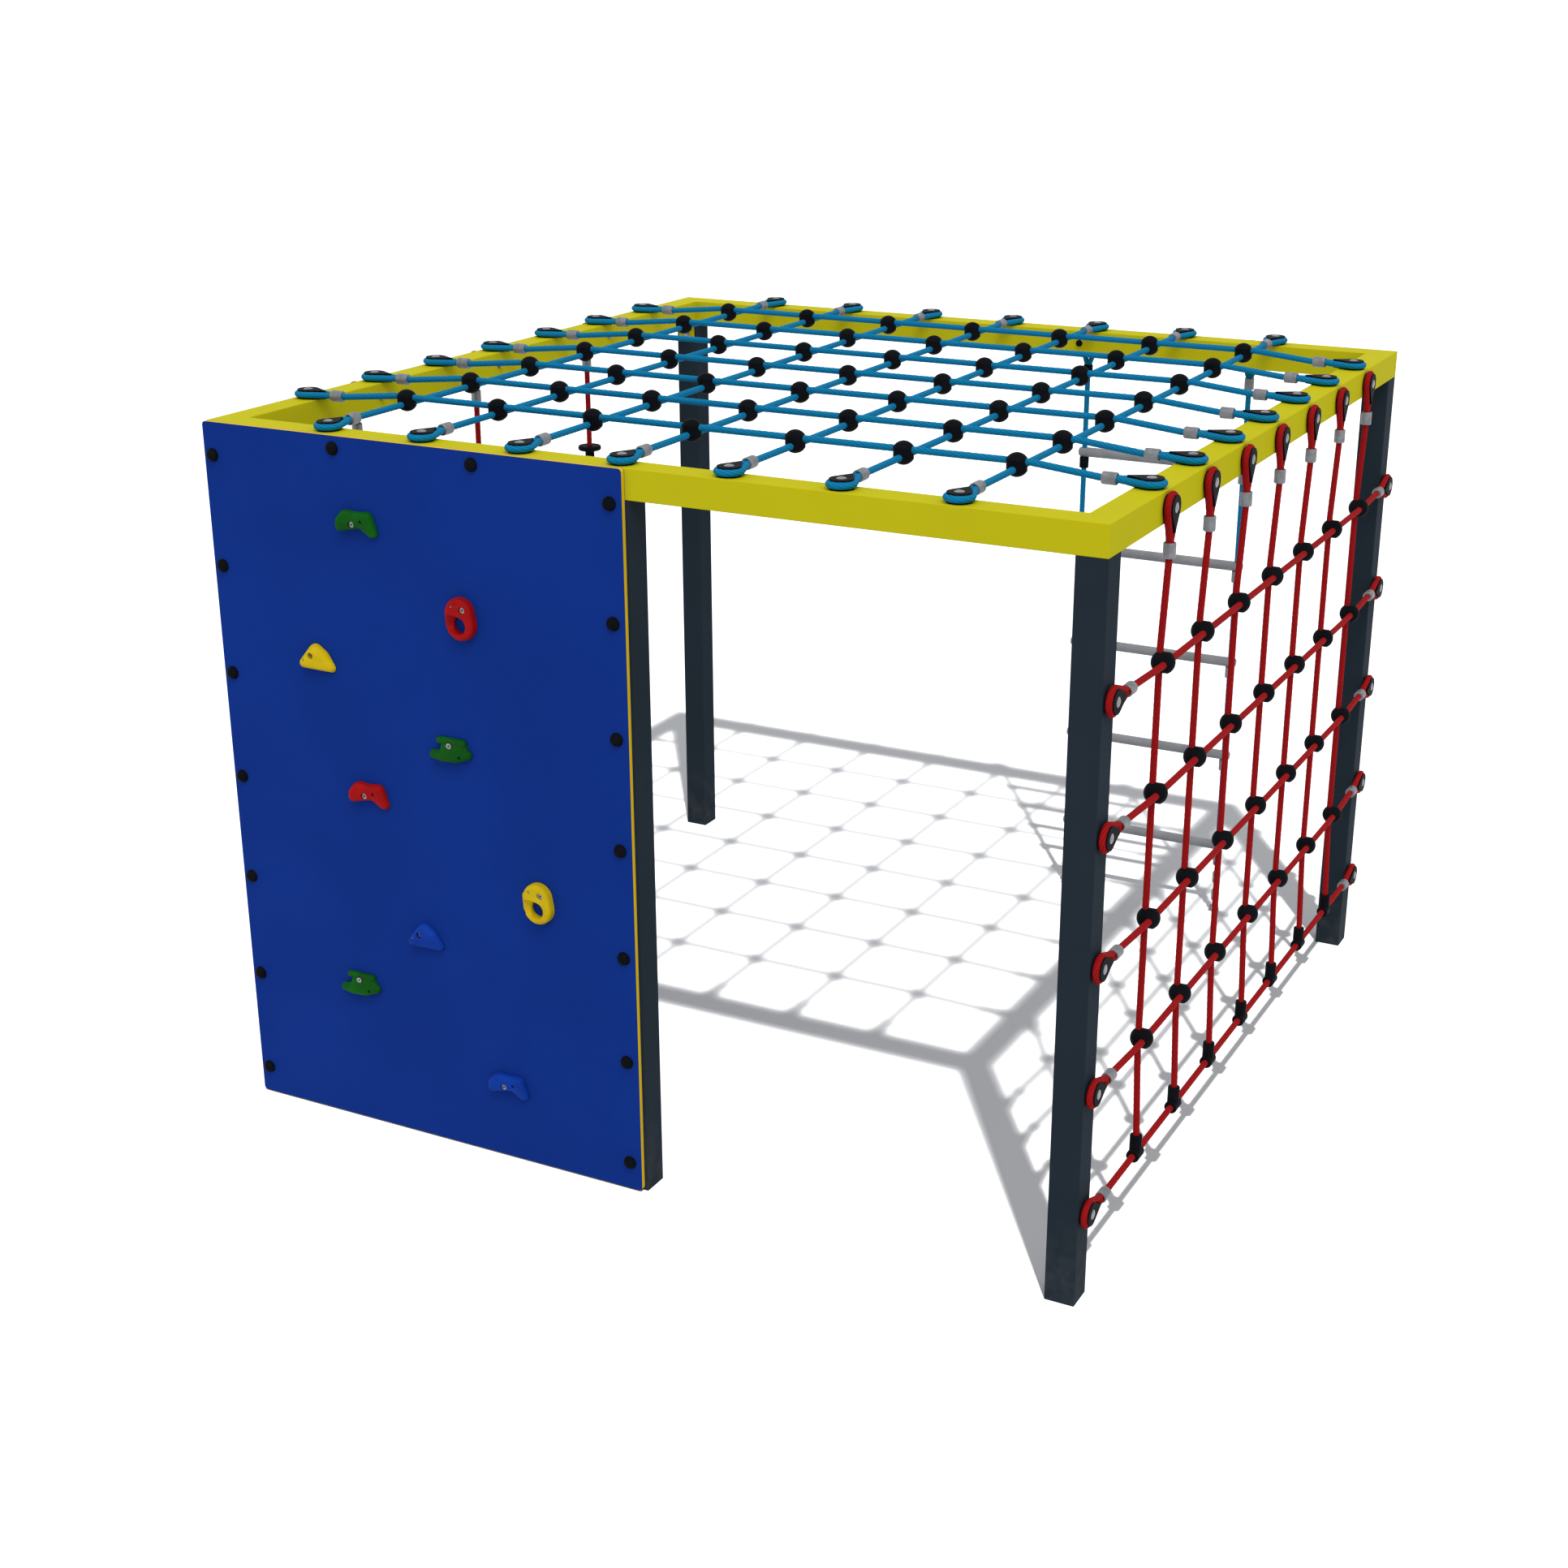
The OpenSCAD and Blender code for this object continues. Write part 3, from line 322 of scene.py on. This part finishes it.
def lay_rope(name, body, material, paths, stands_for):
    """One mesh of twisted ropes along these paths."""
    points, ring_step, quick_step, yarn_rate = 24, 0.0065, 0.014, 10
    off_every_rope = [0.31, 0.52, 0.79]
    angle = np.arange(points) * 2 * np.pi / points
    vertices, faces, uvs = [], [], []
    for path in paths:
        steps = np.linalg.norm(np.diff(path, axis=0), axis=1)
        run = np.concatenate([[0.0], np.cumsum(steps)])
        count = int(run[-1] / ring_step) + 2
        at = np.linspace(0.0, run[-1], count)
        line = np.stack([np.interp(at, run, path[:, k]) for k in range(3)], axis=1)
        tangent = np.gradient(line, axis=0)
        tangent /= np.linalg.norm(tangent, axis=1)[:, None]
        normal = np.cross(tangent[0], off_every_rope)
        base = len(vertices)
        for i in range(count):
            normal = normal - tangent[i] * np.dot(normal, tangent[i])
            normal /= np.linalg.norm(normal)
            binormal = np.cross(tangent[i], normal)
            phase = angle * strands - 2 * np.pi * strands * at[i] / lay_length
            off = (np.mod(phase + np.pi, 2 * np.pi) - np.pi) / strands
            radius = strand_at * np.cos(off) + np.sqrt(strand_r ** 2 - (strand_at * np.sin(off)) ** 2)
            ring = np.outer(radius * np.cos(angle), normal) + np.outer(radius * np.sin(angle), binormal)
            vertices.extend(line[i] + ring)
        for i in range(count - 1):
            for k in range(points):
                a = base + i * points + k
                b = base + i * points + (k + 1) % points
                faces.append((a, b, b + points, a + points))
                for row, column in ((i, k), (i, k + 1), (i + 1, k + 1), (i + 1, k)):
                    groove = 0.5 + strands * column / points - strands * at[row] / lay_length
                    uvs.append((at[row] * yarn_rate, groove))
        faces.append(tuple(range(base + points - 1, base - 1, -1)))
        faces.append(tuple(range(base + (count - 1) * points, base + count * points)))
        uvs.extend([(0.0, 0.0)] * (2 * points))
    mesh = bpy.data.meshes.new(name)
    mesh.from_pydata([tuple(v) for v in vertices], [], faces)
    mesh.uv_layers.new(name="lay").data.foreach_set("uv", np.array(uvs, np.float32).ravel())
    mesh.shade_smooth()
    mesh.materials.append(material)
    rope = bpy.data.objects.new(name, mesh)
    bpy.context.scene.collection.objects.link(rope)
    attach(rope, body)
    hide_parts(*stands_for)


# Top net: seven blue ropes each way in two layers, which meet in a joint at every crossing.
# Drawn tight, with the eyes bolted to the beams' top faces.
net_count = 7
layer = 0.0091
bend_at, joint_clear = 0.126, 0.036
mesh_x = (frame_w - 2 * tube) / (net_count + 1)
mesh_y = (frame_d - 2 * tube) / (net_count + 1)
right, back, up = Vector((1, 0, 0)), Vector((0, 1, 0)), Vector((0, 0, 1))
# Its second colour is painted shade in the grooves between the strands, and also the darker yarn.
blue_rope = rope_cover("rope_blue", srgb(13, 120, 165), srgb(9, 92, 130))


def across_net(start, along, out, span, mesh, rise):
    """The middle line of a net rope, lifted by rise from its first joint to its last."""
    step_at = tube / 2 + mesh - joint_clear
    lifted = [(bend_at, eye_lift), (step_at, eye_lift + rise), (span - step_at, eye_lift + rise),
              (span - bend_at, eye_lift)]
    return rope_path(start, along, out, lifted, span)


top_x, top_y = [], []
for i in range(1, net_count + 1):
    start_at = corner + Vector((tube / 2, tube + i * mesh_y, frame_h))
    top_x.append(across_net(start_at, right, up, frame_w - tube, mesh_x, 2 * layer))
    start_at = corner + Vector((tube + i * mesh_x, tube / 2, frame_h))
    top_y.append(across_net(start_at, back, up, frame_d - tube, mesh_y, 0.0))
lay_rope("laid_top_x", "frame", blue_rope, top_x, ["top_ropes_x"])
lay_rope("laid_top_y", "frame", blue_rope, top_y, ["top_ropes_y"])

# Side net: seven red uprights from the right beam down to tees on the lowest cross rope, and five red
# cross ropes between the posts. The eyes are bolted to the outer faces of beam and posts.
step_low, step_pitch, step_count = 0.250, 0.333, 5
tee_height, tee_lead, tee_stop = 0.055, 0.010, 0.0115
eye_z = frame_h - tube / 2
# Its second colour is painted shade in the grooves between the strands, and also the darker yarn.
red_rope = rope_cover("rope_red", srgb(155, 20, 22), srgb(120, 13, 16))
rows = []
for k in range(step_count):
    start_at = corner + Vector((frame_w, tube / 2, step_low + k * step_pitch))
    rows.append(across_net(start_at, back, right, frame_d - tube, mesh_y, layer if k else 0.0))
drop = eye_z - step_low
inner = [(bend_at, eye_lift), (drop - (step_count - 1) * step_pitch - joint_clear, eye_lift - layer),
         (drop - step_pitch + joint_clear, eye_lift - layer), (drop - tee_height - tee_lead, eye_lift),
         (drop - tee_stop, eye_lift)]
uprights = [rope_path(corner + Vector((frame_w, tube + i * mesh_y, eye_z)), -up, right, inner, None)
            for i in range(1, net_count + 1)]
lay_rope("laid_side_rows", "frame", red_rope, rows, ["side_rows"])
lay_rope("laid_side_uprights", "frame", red_rope, uprights, ["side_uprights"])

# Ferrules and the ladder's grey sleeves: aluminium, pressed over the doubled rope under each eye.
# Satin grey with faint marks of the press.
ferrule_metal, start, shader, where = finish("ferrule_grey", 0.3)
marks = start.noise(where, 320.0, 4.0)
cloud = start.noise(where, 60.0)
start.feed(cloud.ramp(0.3, 0.7).tint(srgb(112, 114, 118), srgb(130, 132, 136)), shader.inputs["Base Color"])
start.feed(0.38 + marks * 0.2, shader.inputs["Roughness"])
start.feed(start.bump(marks, 0.2, 0.0006), shader.inputs["Normal"])
shader.inputs["Metallic"].default_value = 0.45
wear(ferrule_metal, "net_ferrules", "ladder_grey", "disc_ferrule_front", "disc_ferrule_mid",
     "disc_ferrule_back")

# Bolts, screws and nuts: stainless steel, turned and tumbled, with light handling marks.
# They hold the brackets, the holds and every rope eye.
steel, start, shader, where = finish("bolt_steel", 0.4)
turned = start.noise(where, 1100.0, 3.0)
cloud = start.noise(where, 90.0)
start.feed(cloud.ramp(0.3, 0.7).tint(srgb(120, 121, 125), srgb(142, 143, 147)), shader.inputs["Base Color"])
start.feed(0.28 + turned * 0.18, shader.inputs["Roughness"])
start.feed(start.bump(turned, 0.12, 0.0004), shader.inputs["Normal"])
shader.inputs["Metallic"].default_value = 0.75
wear(steel, "frame_bolts", "hold_fixings", "net_bolts", "rope_bolts")

# Chains and staples: welded links and bent wire, hot-dip galvanised with a dull spangle.
# Each chain ties a hanging rope's end to a staple in the ground.
zinc, start, shader, where = finish("chain_steel", 0.4)
spangle = start.node("TexVoronoi", {}, {"Vector": where, "Scale": 260.0}, out=1)
crystal = start.node("SeparateColor", {}, {"Color": spangle})
start.feed(crystal.tint(srgb(122, 125, 128), srgb(152, 155, 158)), shader.inputs["Base Color"])
start.feed(0.4 + crystal * 0.2, shader.inputs["Roughness"])
start.feed(start.bump(start.noise(where, 500.0), 0.2, 0.0005), shader.inputs["Normal"])
shader.inputs["Metallic"].default_value = 0.7
wear(zinc, "staples", "ladder_chains", "disc_chain_front", "disc_chain_mid", "disc_chain_back")

# Ladder: two blue ropes on the back beam with grey plastic rungs, each rung resting on clamp sleeves.
# The rungs are extruded rods with fine lengthwise lines and rounded ends.
rung_grey, start, shader, where = finish("rung_grey", 0.2)
lines = start.node("TexWave", {"bands_direction": "Z"},
                   {"Vector": where, "Scale": 260.0, "Distortion": 0.4})
cloud = start.noise(where, 14.0)
start.feed((cloud.ramp(0.3, 0.7) * 0.6 + lines * 0.4).tint(srgb(121, 122, 125), srgb(146, 147, 150)),
           shader.inputs["Base Color"])
start.feed(0.42 + lines * 0.15, shader.inputs["Roughness"])
start.feed(start.bump(lines, 0.25, 0.0005), shader.inputs["Normal"])
wear(rung_grey, "ladder_rungs")
ladder_low, ladder_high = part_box("ladder_ropes")
ladder_gap = 0.00095
hang = [(eye_z - ladder_low[2], eye_lift)]
ladder_paths = []
for x in (ladder_low[0] + eye_r + rope_r, ladder_high[0] - eye_r - rope_r):
    start_at = Vector((x, far_corner.y + ladder_gap, eye_z))
    ladder_paths.append(rope_path(start_at, -up, back, hang, None))
lay_rope("laid_ladder", "ladder", blue_rope, ladder_paths, ["ladder_ropes"])

# Disc ropes: three red ropes on the left beam, each with black moulded discs to stand on.
# A black sleeve clamped to the rope carries each disc.
disc_gap = 0.0003
for side in ("front", "mid", "back"):
    wear(black_plastic, "disc_thimble_" + side, "disc_fittings_" + side, "discs_" + side)
    soften("disc_thimble_" + side, thimble_edge)
    low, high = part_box("disc_rope_" + side)
    start_at = Vector((corner.x - disc_gap, (low[1] + high[1]) / 2, eye_z))
    path = rope_path(start_at, -up, -right, [(eye_z - low[2], eye_lift)], None)
    lay_rope("laid_disc_" + side, "disc_" + side, red_rope, [path], ["disc_rope_" + side])

# Studio: a wide pale floor that runs out to a white background, and even fill from all round. A large soft
# key from the front right lights the object. Two lamps on the floor alone draw the shadow on white,
# a soft one for its edges and a sharp one for the nets' thin lines.
floor_reach, floor_drop = 60.0, 0.0005
fill, backdrop, daylight = 0.88, 1.05, (0.97, 0.985, 1.0, 1.0)
light_runs = Vector((-0.725, 1.085, -2.0))
plain, warm = (1.0, 1.0, 1.0), (1.0, 0.99, 0.955)
lamps = (("key", 1.3, 32.0, plain, "EXCLUDE"), ("floor_soft", 5.3, 1.5, warm, "INCLUDE"),
         ("floor_sharp", 2.7, 0.45, warm, "INCLUDE"))


def on_show(start):
    """1 where the camera, a mirror or a glass looks, 0 where light only bounces on."""
    camera, gloss, glass = (start.node("LightPath", {}, {}, out="Is %s Ray" % kind)
                            for kind in ("Camera", "Glossy", "Transmission"))
    return start.math("MAXIMUM", start.math("MAXIMUM", camera, gloss), glass)


floor_mesh = bpy.data.meshes.new("floor")
floor_corners = [(-floor_reach, -floor_reach, 0), (floor_reach, -floor_reach, 0),
                 (floor_reach, floor_reach, 0), (-floor_reach, floor_reach, 0)]
floor_mesh.from_pydata(floor_corners, [], [(0, 1, 2, 3)])
floor = bpy.data.objects.new("floor", floor_mesh)
bpy.context.scene.collection.objects.link(floor)
floor.location.z = -floor_drop
floor_paint, start, shader, where = finish("floor", 0.0)
pale = start.noise(where, 1.5).tint(srgb(183, 184, 187), srgb(185, 186, 189))
start.feed(on_show(start).tint(srgb(139, 139, 141), pale), shader.inputs["Base Color"])
shader.inputs["Roughness"].default_value = 0.9
floor_mesh.materials.append(floor_paint)

world = bpy.data.worlds.new("studio")
bpy.context.scene.world = world
world.use_nodes = True
background = world.node_tree.nodes["Background"]
sky = Sock(world.node_tree)
sky.feed(on_show(sky) * (backdrop - fill) + fill, background.inputs["Strength"])
background.inputs["Color"].default_value = daylight

for name, energy, spread, tone, on_floor in lamps:
    lamp = bpy.data.lights.new(name, "SUN")
    lamp.energy = energy
    lamp.angle = math.radians(spread)
    lamp.color = tone
    light = bpy.data.objects.new(name, lamp)
    bpy.context.scene.collection.objects.link(light)
    light.rotation_euler = light_runs.to_track_quat("-Z", "Y").to_euler()
    lit = bpy.data.collections.new(name + "_lit")
    lit.objects.link(floor)
    lit.collection_objects[0].light_linking.link_state = on_floor
    light.light_linking.receiver_collection = lit

# Camera: where the picture was taken from, counted from the front left corner of the frame.
# A long lens about three metres up, with a small shift for the framing.
camera_data = bpy.data.cameras.new("camera")
camera_data.lens = 52.403
camera_data.sensor_width = 36.0
camera_data.shift_x = -0.01747
camera_data.shift_y = 0.0176
camera = bpy.data.objects.new("camera", camera_data)
bpy.context.scene.collection.objects.link(camera)
camera.location = corner + Vector((4.22478, -4.65454, 3.18737))
camera.rotation_euler = (math.radians(69.1966), 0.0, math.radians(27.3065))
bpy.context.scene.camera = camera
bpy.context.scene.view_settings.view_transform = "Standard"
